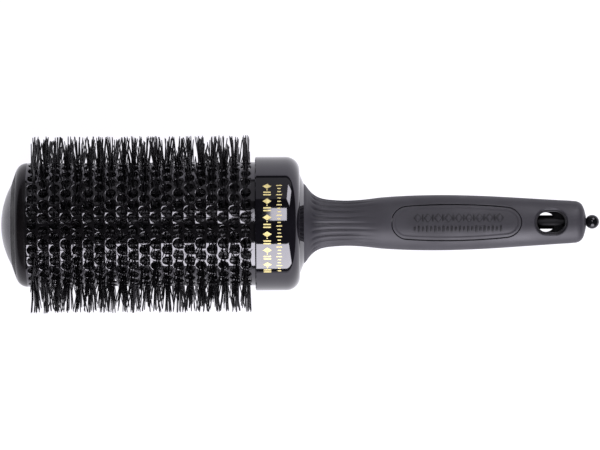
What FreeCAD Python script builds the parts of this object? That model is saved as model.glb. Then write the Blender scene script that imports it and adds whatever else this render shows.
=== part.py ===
import FreeCAD, Part
import math
import os
import re
import Sketcher
from FreeCAD import Placement, Rotation, Vector

# Round barrel brush for blow drying: a hollow perforated barrel with 600 bristle tufts,
# a glossy collar, and a soft oval handle that stores a slide-out sectioning pick.
#
# Frame: X runs along the brush's axis, from the end cap (-X) to the tail of the handle (+X).
# Y lies across the handle's wide faces and +Z is up, out of its front panel.
# The origin is on the axis, inside the collar's cylindrical band.  All sizes are millimetres.

# The driving dimensions: alias, value, meaning.
DIMENSIONS = [
    ("barrel_radius", 27.8, "outside of the perforated sleeve"),
    ("sleeve_wall", 0.8, "sleeve sheet thickness"),
    ("sleeve_start", -110.0, "sleeve end at the cap"),
    ("sleeve_stop", -3.6, "sleeve end inside the collar"),
    ("hole_radius", 2.1, "bristle hole in the sleeve"),
    ("hole_first", -106.9, "first column of holes"),
    ("hole_pitch", 5.01, "spacing of the columns along the barrel"),
    ("running_gap", 0.05, "radial gap of a push fit"),
    ("carrier_radius", 24.2, "outside of the bristle carrier"),
    ("carrier_bore", 21.3, "bore of the bristle carrier"),
    ("carrier_start", -109.5, "carrier end at the cap"),
    ("groove_floor", 22.5, "distance of a strip groove's floor from the axis"),
    ("rail_width", 3.8, "width of a bristle strip's rail"),
    ("rail_height", 1.5, "thickness of a bristle strip's rail"),
    ("rail_start", -109.1, "rail end at the cap"),
    ("rail_stop", -4.0, "rail end at the collar"),
    ("tuft_radius", 0.45, "a tuft of four filaments as one round pin"),
    ("tuft_offset", 1.3, "tufts zigzag this far to each side of the strip"),
    ("bristle_reach", 39.9, "distance of the bristle tips from the axis"),
    ("spigot_wall", 1.8, "wall of the spigots inside the carrier"),
    ("spigot_length", 10, "depth of the cap's spigot in the carrier"),
    ("cap_lip", -116.8, "front edge of the end cap's rim"),
    ("cap_lip_radius", 19, "radius of the end cap's rim"),
    ("cap_step", 0.5, "height of the step that centres the sleeve"),
    ("shoulder_start", -114.88, "where the cap's cone meets its round shoulder"),
    ("shoulder_radius", 24.6, "distance of that edge from the axis"),
    ("shoulder_end", -110.2, "where the shoulder runs into the barrel's cylinder"),
    ("cap_web_front", -115.6, "seat of the dome in the cap"),
    ("cap_web_back", -112.5, "back of the cap's web"),
    ("dome_tip", -122, "tip of the dome"),
    ("dome_radius", 37.76, "radius of the dome's sphere"),
    ("dome_rim", 18.95, "edge of the dome from the axis"),
    ("dome_wall", 1.6, "thickness of the dome"),
    ("snap_radius", 15, "outside of the dome's snap ring"),
    ("snap_wall", 1.4, "wall of the snap ring"),
    ("snap_stop", -110.6, "inner end of the snap ring"),
    ("collar_start", -7.6, "collar's face at the bristles"),
    ("collar_radius", 30.05, "collar's cylindrical band"),
    ("collar_edge", 0.5, "edge radius of that face"),
    ("band_stop", 6.1, "end of the collar's cylindrical band"),
    ("collar_round", 6.3, "round corner after the band"),
    ("cone_step", 1.2, "step between the round corner and the cone"),
    ("cone_radius", 18, "small end of the collar's cone"),
    ("collar_stop", 14.2, "collar's face at the handle"),
    ("boss_stop", -0.6, "inner end of the collar's boss"),
    ("boss_radius", 13.2, "outside of the boss"),
    ("cavity_radius", 23.5, "inside of the collar's shell"),
    ("cavity_round", 6, "where the inside of the shell starts to close"),
    ("cavity_floor", 9.6, "bottom of the cavity round the boss"),
    ("cavity_floor_radius", 20.5, "outer edge of that bottom"),
    ("hub_seat_radius", 25.3, "seat of the carrier hub in the collar"),
    ("hub_floor", 5, "thickness of the carrier hub's floor"),
    ("hub_spigot", 8, "depth of the carrier hub's spigot"),
    ("screw_hole", 2.75, "clearance hole for the tang screw"),
    ("screw_radius", 2.45, "shank of the tang screw"),
    ("screw_stop", 12, "tip of the tang screw"),
    ("screw_head_radius", 4.6, "head of the tang screw"),
    ("screw_head", 3.2, "height of that head"),
    ("screw_socket", 2.2, "hexagon socket, centre to corner"),
    ("screw_socket_depth", 2, "depth of the hexagon socket"),
    ("washer_radius", 7.5, "outside of the washer"),
    ("washer_thickness", 1, "thickness of the washer"),
    ("tang_radius", 11, "round sides of the handle's tang"),
    ("tang_flat", 9.5, "distance of the tang's flats from the axis"),
    ("tang_start", 0.4, "inner end of the tang"),
    ("grip_wall", 2, "thickness of the soft grip over the core"),
    ("panel_depth", 1.2, "depth of the pocket for an inset panel"),
    ("panel_gap", 0.25, "groove round an inset panel"),
    ("panel_start", 54.2, "panel end at the collar, at its corners"),
    ("panel_stop", 111.3, "panel end at the tail, at its corners"),
    ("panel_half_start", 6.7, "half width of the panel at its start"),
    ("panel_half_stop", 5.9, "half width of the panel at its stop"),
    ("panel_end_bow", 50, "radius of the bowed ends"),
    ("panel_side_bow", 263, "radius of the bowed sides"),
    ("panel_corner", 5.8, "corner radius of the panel"),
    ("recess_start", 118, "recess in the tail, start"),
    ("recess_stop", 132.2, "recess in the tail, stop"),
    ("recess_half", 5.4, "half width of the recess"),
    ("web_half", 2.6, "half thickness of the core's web in the recess"),
    ("window_centre", 122.9, "centre of the round hole through the web"),
    ("window_radius", 4.35, "radius of that hole"),
    ("tube_radius", 3.1, "outside of the pick's guide tube"),
    ("tube_bore", 1.33, "bore of the guide tube"),
    ("tube_start", 114.3, "inner end of the guide tube"),
    ("tube_stop", 140, "outer end of the guide tube"),
    ("tail_bore", 1.55, "hole in the grip's tail round the needle"),
    ("grip_stop", 141, "tail end of the grip"),
    ("chamber_start", 67.8, "inner end of the pick's square chamber"),
    ("chamber_half", 2, "half width of that chamber"),
    ("needle_radius", 1.25, "the pick's needle"),
    ("needle_start", 68.2, "inner end of the needle"),
    ("needle_head_radius", 1.7, "upset head on the needle's inner end"),
    ("needle_head", 0.8, "length of that head"),
    ("needle_stop", 143.6, "end of the needle inside the ball"),
    ("ring_radius", 1.96, "outside of the friction ring"),
    ("ring_length", 1.2, "length of the friction ring"),
    ("stop_half", 1.92, "half width of the square stop"),
    ("stop_length", 3.8, "length of the square stop"),
    ("seat_gap", 0.02, "radial gap of the parts pressed on the needle"),
    ("ball_centre", 143.9, "centre of the pick's ball at rest"),
    ("ball_radius", 3.15, "radius of the pick's ball"),
]

COLUMNS = 20  # columns of holes along the barrel
ROWS = 30  # holes round each column, and bristle strips in the carrier
DRILL_DEPTH = 4.0  # length of the drill that makes one hole

# Cross sections of the handle: place along X, half width in Y and half height in Z.
# The flutes' neck is round, and the grip flattens to an oval towards its tail.
STATIONS = [
    (14.2, 18.0, 18.0),
    (15.1, 17.1, 17.1),
    (16.1, 15.7, 15.7),
    (17.3, 14.3, 14.3),
    (19.1, 12.8, 12.8),
    (21.4, 11.6, 11.6),
    (24.2, 10.9, 10.9),
    (28.0, 10.5, 10.5),
    (33.0, 10.25, 10.2),
    (40.0, 10.55, 10.2),
    (48.8, 11.5, 10.4),
    (59.6, 12.15, 10.4),
    (76.7, 12.45, 10.2),
    (95.6, 11.9, 9.7),
    (115.9, 10.7, 8.75),
    (129.4, 9.85, 8.05),
    (135.0, 9.5, 7.8),
    (137.2, 9.2, 7.55),
    (138.5, 8.55, 7.05),
    (139.6, 7.3, 6.1),
    (140.4, 5.35, 4.6),
    (141.0, 2.95, 2.7),
]
CORE_STATIONS = range(0, 17)  # the core ends inside the grip's tail
PANEL_STATIONS = range(9, 17)  # the pocket floor only matters along the panel

doc = FreeCAD.newDocument("round_barrel_brush")
sheet = doc.addObject("Spreadsheet::Sheet", "Sizes")
nodes = {}


def fill_sheet():
    """Writes each driving dimension as its meaning, its value and the value's alias."""
    rows = list(DIMENSIONS)
    for index, (place, wide, high) in enumerate(STATIONS):
        rows.append((f"station_{index}_place", place, "grip section, place along the axis"))
        rows.append((f"station_{index}_wide", wide, "grip section, half width"))
        rows.append((f"station_{index}_high", high, "grip section, half height"))
    for line, (alias, value, meaning) in enumerate(rows, start=1):
        sheet.set(f"A{line}", meaning)
        sheet.set(f"B{line}", str(value))
        sheet.setAlias(f"B{line}", alias)
    doc.recompute()
    return {alias for alias, value, meaning in rows}


ALIASES = fill_sheet()


def formula(text):
    """The formula with each alias written as a reference to the sheet."""
    return re.sub(r"[a-z]\w*", lambda word: ("Sizes." if word[0] in ALIASES else "") + word[0], str(text))


def size(text):
    """The present value of a formula, in millimetres."""
    return float(sheet.evalExpression(formula(text)))


def bind(thing, **formulas):
    """Binds properties to formulas; two underscores stand for a dot, as in Placement__Base__x."""
    for name, text in formulas.items():
        thing.setExpression(name.replace("__", "."), formula(text))
    return thing


def finish(thing, label):
    """Names a finished sub-part, which is then written to its own file."""
    thing.Label = label
    nodes[label] = thing
    return thing


# ---- sketches ---------------------------------------------------------------------------------


def sketch_on(body, name, role):
    """A sketch on one of the body's own origin planes."""
    sketch = body.newObject("Sketcher::SketchObject", name)
    plane = next(item for item in body.Origin.OriginFeatures if item.Role == role)
    sketch.AttachmentSupport = [(plane, "")]
    sketch.MapMode = "FlatFace"
    return sketch


def bind_constraint(sketch, constraint, text):
    """Adds a dimension and binds it to its formula."""
    number = sketch.addConstraint(constraint)
    sketch.setExpression(f"Constraints[{number}]", formula(text))


def place_point(sketch, side, end, corner):
    """Fixes the end of a side at a corner, given as two formulas."""
    for axis, kind, text in ((-2, "DistanceX", corner[0]), (-1, "DistanceY", corner[1])):
        value = size(text)
        if abs(value) < 1e-9:
            sketch.addConstraint(Sketcher.Constraint("PointOnObject", side, end, axis))
        else:
            bind_constraint(sketch, Sketcher.Constraint(kind, -1, 1, side, end, value), text)


def add_side(sketch, start, stop, radius):
    """One straight or round side, and which of its ends are its start and its stop.

    A positive radius bulges to the left of the way from start to stop, a negative one to the right.
    """
    if radius == 0:
        return sketch.addGeometry(Part.LineSegment(start, stop)), 1, 2
    chord = stop - start
    left = Vector(-chord.y, chord.x, 0).normalize()
    to_centre = math.sqrt(radius**2 - (chord.Length / 2) ** 2)
    centre = start + chord * 0.5 - left * math.copysign(to_centre, radius)
    first, last = (stop, start) if radius > 0 else (start, stop)
    begin = math.atan2(first.y - centre.y, first.x - centre.x)
    end = math.atan2(last.y - centre.y, last.x - centre.x)
    if end < begin:
        end += 2 * math.pi
    circle = Part.Circle(centre, Vector(0, 0, 1), abs(radius))
    side = sketch.addGeometry(Part.ArcOfCircle(circle, begin, end))
    return (side, 2, 1) if radius > 0 else (side, 1, 2)


def outline(sketch, corners, arcs=None):
    """A closed outline through corners; arcs gives the signed radius of the side after a corner."""
    arcs = arcs or {}
    points = [Vector(size(across), size(up), 0) for across, up in corners]
    sides = []
    for index, start in enumerate(points):
        text = arcs.get(index, "0")
        side = add_side(sketch, start, points[(index + 1) % len(points)], size(text))
        sides.append(side)
        if index in arcs:
            round_side = Sketcher.Constraint("Radius", side[0], abs(size(text)))
            bind_constraint(sketch, round_side, text.lstrip("-"))
    for index, (side, start, stop) in enumerate(sides):
        after, after_start, after_stop = sides[(index + 1) % len(sides)]
        sketch.addConstraint(Sketcher.Constraint("Coincident", side, stop, after, after_start))
        place_point(sketch, side, start, corners[index])


def circle_at(sketch, across, up, radius):
    """A circle, given by the formulas of its centre and its radius."""
    centre = Vector(size(across), size(up), 0)
    circle = sketch.addGeometry(Part.Circle(centre, Vector(0, 0, 1), size(radius)))
    bind_constraint(sketch, Sketcher.Constraint("Radius", circle, size(radius)), radius)
    place_point(sketch, circle, 3, (across, up))


def new_body(name):
    return doc.addObject("PartDesign::Body", name)


def turned(name, corners, arcs=None):
    """A body turned about the brush's axis from an outline of (place along X, radius) corners."""
    body = new_body(name)
    profile = sketch_on(body, f"{name}_profile", "XY_Plane")
    outline(profile, corners, arcs)
    turn = body.newObject("PartDesign::Revolution", f"{name}_turn")
    turn.Profile = profile
    turn.ReferenceAxis = (profile, ["H_Axis"])
    turn.Angle = 360
    profile.Visibility = False
    return body


def cut_through(body, name, draw, role="YZ_Plane"):
    """Cuts a sketch, drawn by draw(sketch), right through the body, both ways from its plane."""
    doc.recompute()
    before = body.Shape.Volume
    sketch = sketch_on(body, f"{name}_outline", role)
    draw(sketch)
    pocket = body.newObject("PartDesign::Pocket", name)
    pocket.Profile = sketch
    pocket.Type = 1
    pocket.Midplane = True
    doc.recompute()
    assert body.Shape.Volume < before - 1e-3, f"{name} cuts nothing"
    return pocket


# ---- Part primitives along the brush's axis -------------------------------------------------------

ALONG_X = Rotation(Vector(0, 1, 0), 90)  # turns a primitive's own Z onto +X


def rod(name, start, stop, radius):
    """A cylinder on the axis, from start to stop."""
    part = doc.addObject("Part::Cylinder", name)
    part.Placement = Placement(Vector(0, 0, 0), ALONG_X)
    return bind(part, Radius=radius, Height=f"({stop}) - ({start})", Placement__Base__x=start)


def block(name, start, stop, half_width, half_height):
    """A box centred on the axis, from start to stop."""
    part = doc.addObject("Part::Box", name)
    return bind(
        part,
        Length=f"({stop}) - ({start})",
        Width=f"2 * ({half_width})",
        Height=f"2 * ({half_height})",
        Placement__Base__x=start,
        Placement__Base__y=f"-({half_width})",
        Placement__Base__z=f"-({half_height})",
    )


def cut(name, base, tool):
    part = doc.addObject("Part::Cut", name)
    part.Base, part.Tool = base, tool
    return part


def common(name, base, tool):
    part = doc.addObject("Part::Common", name)
    part.Base, part.Tool = base, tool
    return part


def fuse(name, parts):
    part = doc.addObject("Part::MultiFuse", name)
    part.Shapes = parts
    return part


# ---- the head ---------------------------------------------------------------------------------------


def barrel_sleeve():
    """Perforated aluminium tube: staggered columns of round holes."""
    outside = rod("sleeve_outside", "sleeve_start", "sleeve_stop", "barrel_radius")
    inside = rod("sleeve_inside", "sleeve_start - 1", "sleeve_stop + 1", "barrel_radius - sleeve_wall")
    tube = cut("sleeve_tube", outside, inside)
    drills = []
    for column in range(COLUMNS):
        place = Vector(size("hole_first") + column * size("hole_pitch"), 0, 0)
        for row in range(ROWS):
            angle = 2 * math.pi * (row + 0.5 * (column % 2)) / ROWS
            outward = Vector(0, math.sin(angle), math.cos(angle))
            foot = place + outward * (size("barrel_radius") - DRILL_DEPTH / 2)
            drills.append(Part.makeCylinder(size("hole_radius"), DRILL_DEPTH, foot, outward))
    drill_set = doc.addObject("Part::Feature", "sleeve_drills")
    drill_set.Shape = Part.makeCompound(drills)
    finish(cut("sleeve_perforated", tube, drill_set), "barrel_sleeve")


def bristle_carrier():
    """Moulded tube inside the sleeve, with a groove along it for each bristle strip."""
    body = turned(
        "bristle_carrier",
        [
            ("carrier_start", "carrier_bore"),
            ("carrier_start", "carrier_radius"),
            ("sleeve_stop", "carrier_radius"),
            ("sleeve_stop", "carrier_bore"),
        ],
    )
    half = "(rail_width / 2 + running_gap)"

    def groove(sketch):
        corners = [(f"-{half}", "groove_floor"), (half, "groove_floor")]
        corners += [(half, "carrier_radius + 1"), (f"-{half}", "carrier_radius + 1")]
        outline(sketch, corners)

    pocket = cut_through(body, "strip_groove", groove)
    pattern = body.newObject("PartDesign::PolarPattern", "strip_grooves")
    pattern.Originals = [pocket]
    pattern.Axis = (pocket.Profile[0], ["N_Axis"])
    pattern.Angle = 360
    pattern.Occurrences = ROWS
    body.Tip = pattern
    half_step = 180.0 / ROWS / 2
    body.Placement = Placement(Vector(0, 0, 0), Rotation(Vector(1, 0, 0), -half_step))
    finish(body, "bristle_carrier")


def bristle_strip(number):
    """One slide-in strip: a rail with a zigzag row of tufts, one for each hole above it."""
    name = f"bristle_strip_{number + 1:02d}"
    body = new_body(name)
    section = sketch_on(body, f"{name}_section", "YZ_Plane")
    top = "groove_floor + rail_height"
    corners = [("-rail_width / 2", "groove_floor"), ("rail_width / 2", "groove_floor")]
    corners += [("rail_width / 2", top), ("-rail_width / 2", top)]
    outline(section, corners)
    bind(section, AttachmentOffset__Base__z="rail_start")
    rail = body.newObject("PartDesign::Pad", f"{name}_rail")
    rail.Profile = section
    bind(rail, Length="rail_stop - rail_start")
    feet = sketch_on(body, f"{name}_feet", "XY_Plane")
    circle_at(feet, "hole_first", "-tuft_offset", "tuft_radius")
    circle_at(feet, "hole_first + hole_pitch", "tuft_offset", "tuft_radius")
    bind(feet, AttachmentOffset__Base__z=f"{top} - running_gap")
    tufts = body.newObject("PartDesign::Pad", f"{name}_tufts")
    tufts.Profile = feet
    bind(tufts, Length=f"bristle_reach - ({top}) + running_gap")
    pattern = body.newObject("PartDesign::LinearPattern", f"{name}_row")
    pattern.Originals = [tufts]
    pattern.Direction = (feet, ["H_Axis"])
    bind(pattern, Length=f"hole_pitch * {COLUMNS - 2}")
    pattern.Occurrences = COLUMNS // 2
    body.Tip = pattern
    step = 360.0 / ROWS
    body.Placement = Placement(Vector(0, 0, 0), Rotation(Vector(1, 0, 0), -step * (number + 0.25)))
    finish(body, name)


def end_cap():
    """Moulded rim that closes the barrel, with a step for the sleeve and a spigot in the carrier."""
    spigot = "(carrier_bore - running_gap)"
    rise = "(barrel_radius - shoulder_radius)"
    body = turned(
        "end_cap",
        [
            ("cap_lip", "cap_lip_radius"),
            ("shoulder_start", "shoulder_radius"),
            ("shoulder_end", "barrel_radius"),
            ("sleeve_start", "barrel_radius"),
            ("sleeve_start", "barrel_radius - sleeve_wall - running_gap"),
            ("sleeve_start + cap_step", "barrel_radius - sleeve_wall - running_gap"),
            ("carrier_start", spigot),
            ("carrier_start + spigot_length", spigot),
            ("carrier_start + spigot_length", f"{spigot} - spigot_wall"),
            ("cap_web_back", f"{spigot} - spigot_wall"),
            ("cap_web_back", "snap_radius + running_gap"),
            ("cap_web_front", "snap_radius + running_gap"),
            ("cap_web_front", "cap_lip_radius"),
        ],
        {1: f"((shoulder_end - shoulder_start) ^ 2 + {rise} ^ 2) / (2 * {rise})"},
    )
    finish(body, "end_cap")


def dome_cover():
    """Shallow dome that snaps into the end cap."""
    centre = "(dome_tip + dome_radius)"
    inner = "(dome_radius - dome_wall)"
    ring = "(snap_radius - snap_wall)"
    body = turned(
        "dome_cover",
        [
            ("dome_tip", "0"),
            (f"{centre} - sqrt(dome_radius ^ 2 - dome_rim ^ 2)", "dome_rim"),
            ("cap_web_front", "dome_rim"),
            ("cap_web_front", "snap_radius"),
            ("snap_stop", "snap_radius"),
            ("snap_stop", ring),
            (f"{centre} - sqrt({inner} ^ 2 - {ring} ^ 2)", ring),
            ("dome_tip + dome_wall", "0"),
        ],
        {0: "dome_radius", 6: f"-{inner}"},
    )
    finish(body, "dome_cover")


def hub_collar():
    """Glossy collar: a cup that takes the sleeve's end, with a keyed boss for the handle's tang."""
    body = turned(
        "hub_collar",
        [
            ("collar_start", "barrel_radius + running_gap"),
            ("collar_start", "collar_radius - collar_edge"),
            ("collar_start + collar_edge", "collar_radius"),
            ("band_stop", "collar_radius"),
            ("band_stop + collar_round", "collar_radius - collar_round"),
            ("band_stop + collar_round", "collar_radius - collar_round - cone_step"),
            ("collar_stop", "cone_radius"),
            ("collar_stop", "0"),
            ("boss_stop", "0"),
            ("boss_stop", "boss_radius"),
            ("cavity_floor", "boss_radius"),
            ("cavity_floor", "cavity_floor_radius"),
            ("cavity_round", "cavity_radius"),
            ("boss_stop", "cavity_radius"),
            ("boss_stop", "hub_seat_radius"),
            ("sleeve_stop", "hub_seat_radius"),
            ("sleeve_stop", "barrel_radius + running_gap"),
        ],
        {1: "collar_edge", 3: "collar_round"},
    )
    radius = "(tang_radius + running_gap)"
    flat = "(tang_flat + running_gap)"
    corner = f"sqrt({radius} ^ 2 - {flat} ^ 2)"

    def keyed_socket(sketch):
        corners = [(f"-{corner}", f"-{flat}"), (corner, f"-{flat}"), (corner, flat), (f"-{corner}", flat)]
        outline(sketch, corners, {1: f"-{radius}", 3: f"-{radius}"})

    cut_through(body, "keyed_socket", keyed_socket)
    finish(body, "hub_collar")


def carrier_hub():
    """Disc clamped in the collar by the tang screw; its spigot centres the bristle carrier."""
    spigot = "(carrier_bore - running_gap)"
    body = turned(
        "carrier_hub",
        [
            ("sleeve_stop - hub_spigot", spigot),
            ("sleeve_stop", spigot),
            ("sleeve_stop", "hub_seat_radius - running_gap"),
            ("boss_stop", "hub_seat_radius - running_gap"),
            ("boss_stop", "screw_hole"),
            ("boss_stop - hub_floor", "screw_hole"),
            ("boss_stop - hub_floor", f"{spigot} - spigot_wall"),
            ("sleeve_stop - hub_spigot", f"{spigot} - spigot_wall"),
        ],
    )
    finish(body, "carrier_hub")


def tang_fasteners():
    """The washer and the screw that pull the handle's tang into the collar."""
    face = "boss_stop - hub_floor"
    under_head = f"{face} - washer_thickness"
    disc = rod("washer_disc", under_head, face, "washer_radius")
    hole = rod("washer_hole", f"{under_head} - 1", f"{face} + 1", "screw_hole")
    finish(cut("washer", disc, hole), "tang_washer")
    head = rod("screw_head_disc", f"{under_head} - screw_head", under_head, "screw_head_radius")
    shank = rod("screw_shank", under_head, "screw_stop", "screw_radius")
    socket = doc.addObject("Part::Prism", "screw_hexagon")
    socket.Polygon = 6
    socket.Placement = Placement(Vector(0, 0, 0), ALONG_X)
    bind(
        socket,
        Circumradius="screw_socket",
        Height="screw_socket_depth + 1",
        Placement__Base__x=f"{under_head} - screw_head - 1",
    )
    finish(cut("screw", fuse("screw_blank", [head, shank]), socket), "tang_screw")


# ---- the handle ---------------------------------------------------------------------------------------

ACROSS = Rotation(Vector(1, 1, 1), 120)  # an ellipse's own X, Y and Z onto Y, Z and X


def oval_loft(name, inset, stations):
    """The handle's body, shrunk by an inset, through the given stations."""
    ovals = []
    for index in stations:
        oval = doc.addObject("Part::Ellipse", f"{name}_oval_{index}")
        oval.Placement = Placement(Vector(0, 0, 0), ACROSS)
        bind(
            oval,
            MajorRadius=f"station_{index}_wide - {inset}",
            MinorRadius=f"station_{index}_high - {inset}",
            Placement__Base__x=f"station_{index}_place",
        )
        ovals.append(oval)
    loft = doc.addObject("Part::Loft", name)
    loft.Sections = ovals
    loft.Solid = True
    return loft


def panel_prism(name, gap):
    """Upright prism over the inset panel's outline, widened by gap on all sides."""
    body = new_body(name)
    sketch = sketch_on(body, f"{name}_outline", "XY_Plane")
    start, stop = f"panel_start - {gap}", f"panel_stop + {gap}"
    half_start, half_stop = f"panel_half_start + {gap}", f"panel_half_stop + {gap}"
    outline(
        sketch,
        [(start, f"-({half_start})"), (start, half_start), (stop, half_stop), (stop, f"-({half_stop})")],
        {0: "panel_end_bow", 1: "panel_side_bow", 2: "panel_end_bow", 3: "panel_side_bow"},
    )
    pad = body.newObject("PartDesign::Pad", f"{name}_pad")
    pad.Profile = sketch
    bind(pad, Length="station_12_high + 2")
    doc.recompute()
    upright = [
        f"Edge{number}"
        for number, edge in enumerate(pad.Shape.Edges, start=1)
        if abs(edge.BoundBox.ZLength - size("station_12_high + 2")) < 0.01
    ]
    fillet = body.newObject("PartDesign::Fillet", f"{name}_corners")
    fillet.Base = (pad, upright)
    bind(fillet, Radius=f"panel_corner + {gap}")
    return body


def below(part, name):
    """The mirror image of a solid, for the back of the handle."""
    twin = doc.addObject("Part::Mirroring", name)
    twin.Source = part
    twin.Base = Vector(0, 0, 0)
    twin.Normal = Vector(0, 0, 1)
    return twin


def stadium(name, bottom, top):
    """Upright slug of the recess, between two heights: a block with a round end at each side."""
    half = "recess_half"
    first, last = f"recess_start + {half}", f"recess_stop - {half}"
    middle = doc.addObject("Part::Box", f"{name}_middle")
    bind(
        middle,
        Length=f"({last}) - ({first})",
        Width=f"2 * {half}",
        Height=f"({top}) - ({bottom})",
        Placement__Base__x=first,
        Placement__Base__y=f"-{half}",
        Placement__Base__z=bottom,
    )
    start = upright_rod(f"{name}_start", first, half, bottom, top)
    stop = upright_rod(f"{name}_stop", last, half, bottom, top)
    return fuse(name, [middle, start, stop])


def upright_rod(name, place, radius, bottom, top):
    """A cylinder parallel to Z at a place along the axis."""
    part = doc.addObject("Part::Cylinder", name)
    return bind(
        part,
        Radius=radius,
        Height=f"({top}) - ({bottom})",
        Placement__Base__x=place,
        Placement__Base__z=bottom,
    )


def handle():
    """The rigid core with its tang, the soft grip moulded over it, and two inset panels."""
    clear = "(station_12_high + 2)"
    outer = oval_loft("grip_outside", "0", range(len(STATIONS)))
    core_blank = oval_loft("core_blank", "grip_wall", CORE_STATIONS)
    pocket_floor = oval_loft("panel_floor", "panel_depth", PANEL_STATIONS)

    tang = common(
        "tang",
        rod("tang_round", "tang_start", "collar_stop + 1", "tang_radius"),
        block("tang_flats", "tang_start", "collar_stop + 1", "tang_radius", "tang_flat"),
    )
    window = upright_rod("window", "window_centre", "window_radius", f"-{clear}", clear)
    core_tools = [
        stadium("core_recess_front", "web_half", clear),
        stadium("core_recess_back", f"-{clear}", "-web_half"),
        window,
        rod("core_tube_bore", "tube_start", "grip_stop", "tube_radius"),
        block("pick_chamber", "chamber_start", "tube_start", "chamber_half", "chamber_half"),
        rod("screw_bore", "tang_start - 1", "screw_stop + 1", "screw_radius + running_gap"),
    ]
    core = cut("core", fuse("core_with_tang", [core_blank, tang]), fuse("core_tools", core_tools))
    finish(core, "handle_core")

    front_pocket = cut("panel_pocket", panel_prism("pocket_prism", "panel_gap"), pocket_floor)
    front_panel = cut("panel", common("panel_blank", panel_prism("panel_prism", "0"), outer), pocket_floor)
    grip_tools = [
        front_pocket,
        below(front_pocket, "panel_pocket_back"),
        stadium("grip_recess", f"-{clear}", clear),
        rod("grip_tube_bore", "tube_start", "tube_stop", "tube_radius"),
        rod("grip_tail_bore", "tube_stop", "grip_stop + 1", "tail_bore"),
    ]
    shell = cut("grip_over_core", outer, core_blank)
    finish(cut("grip", shell, fuse("grip_tools", grip_tools)), "grip_shell")
    finish(front_panel, "grip_panel_front")
    finish(below(front_panel, "panel_back"), "grip_panel_back")


def pick():
    """The slide-out sectioning pick in its guide tube."""
    tube = rod("tube_outside", "tube_start", "tube_stop", "tube_radius")
    bore = rod("tube_inside", "tube_start - 1", "tube_stop + 1", "tube_bore")
    finish(cut("tube", tube, bore), "pick_tube")

    ring_start = "needle_start + needle_head"
    stop_start = f"{ring_start} + ring_length"
    seat = "needle_radius + seat_gap"
    head = rod("needle_upset", "needle_start", ring_start, "needle_head_radius")
    needle = rod("needle_rod", "needle_start", "needle_stop", "needle_radius")
    finish(fuse("needle", [needle, head]), "pick_needle")
    ring = rod("ring_outside", ring_start, stop_start, "ring_radius")
    finish(cut("ring", ring, rod("ring_inside", "needle_start", "grip_stop", seat)), "pick_friction_ring")
    square = block("stop_square", stop_start, f"{stop_start} + stop_length", "stop_half", "stop_half")
    finish(cut("stop", square, rod("stop_inside", "needle_start", "grip_stop", seat)), "pick_stop")
    ball = doc.addObject("Part::Sphere", "ball_round")
    bind(ball, Radius="ball_radius", Placement__Base__x="ball_centre")
    finish(cut("ball", ball, rod("ball_inside", "tube_stop", "needle_stop", seat)), "pick_ball")


def check_document():
    """Stops unless every object is sound and every sub-part is one valid solid."""
    for item in doc.Objects:
        faults = {"Invalid", "Error"} & set(item.State)
        assert not faults, f"{item.Name}: {item.State}"
    for label, item in nodes.items():
        shape = item.Shape
        assert not shape.isNull() and shape.isValid(), f"{label}: bad shape"
        assert len(shape.Solids) == 1, f"{label}: {len(shape.Solids)} solids"


def write_parts():
    os.makedirs("parts", exist_ok=True)
    for label, item in nodes.items():
        item.Shape.exportStep(f"parts/{label}.step")
        box = item.Shape.BoundBox
        print(f"{label:20s} {item.Shape.Volume:9.1f} mm3  X {box.XMin:7.2f} to {box.XMax:7.2f}")


barrel_sleeve()
bristle_carrier()
for strip in range(ROWS):
    bristle_strip(strip)
end_cap()
dome_cover()
hub_collar()
carrier_hub()
tang_fasteners()
handle()
pick()
doc.recompute()
check_document()
write_parts()
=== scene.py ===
import math
import random

import bpy
from mathutils import Matrix, Vector


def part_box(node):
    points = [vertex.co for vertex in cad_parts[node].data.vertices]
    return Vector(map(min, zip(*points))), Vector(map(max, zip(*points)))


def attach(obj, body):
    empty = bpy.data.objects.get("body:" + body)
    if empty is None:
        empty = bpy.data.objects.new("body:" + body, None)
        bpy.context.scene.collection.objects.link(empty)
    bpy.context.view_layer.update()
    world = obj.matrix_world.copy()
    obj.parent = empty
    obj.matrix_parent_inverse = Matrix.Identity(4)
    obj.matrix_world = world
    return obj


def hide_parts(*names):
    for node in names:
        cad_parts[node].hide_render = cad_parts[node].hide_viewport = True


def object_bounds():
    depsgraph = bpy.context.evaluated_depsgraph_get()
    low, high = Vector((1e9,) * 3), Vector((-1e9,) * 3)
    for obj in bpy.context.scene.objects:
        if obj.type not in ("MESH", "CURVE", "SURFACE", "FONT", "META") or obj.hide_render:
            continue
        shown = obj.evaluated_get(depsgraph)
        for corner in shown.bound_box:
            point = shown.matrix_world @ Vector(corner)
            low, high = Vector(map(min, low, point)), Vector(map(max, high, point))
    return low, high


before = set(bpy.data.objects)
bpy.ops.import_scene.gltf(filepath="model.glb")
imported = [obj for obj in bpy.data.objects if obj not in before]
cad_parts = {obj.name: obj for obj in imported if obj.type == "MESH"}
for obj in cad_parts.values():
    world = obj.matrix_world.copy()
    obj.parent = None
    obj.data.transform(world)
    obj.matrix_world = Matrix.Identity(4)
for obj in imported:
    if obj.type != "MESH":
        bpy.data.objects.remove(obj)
cad_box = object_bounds()

# Round barrel brush.  X runs along its axis towards the handle's tail, Y across the handle,
# and Z is up.  Outlines below are in millimetres and become metres as each mesh is made.
MM = 0.001
BRUSH, PICK = "brush", "pick"
dice = random.Random(7)


# ---- mesh helpers -------------------------------------------------------------------------------


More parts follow.
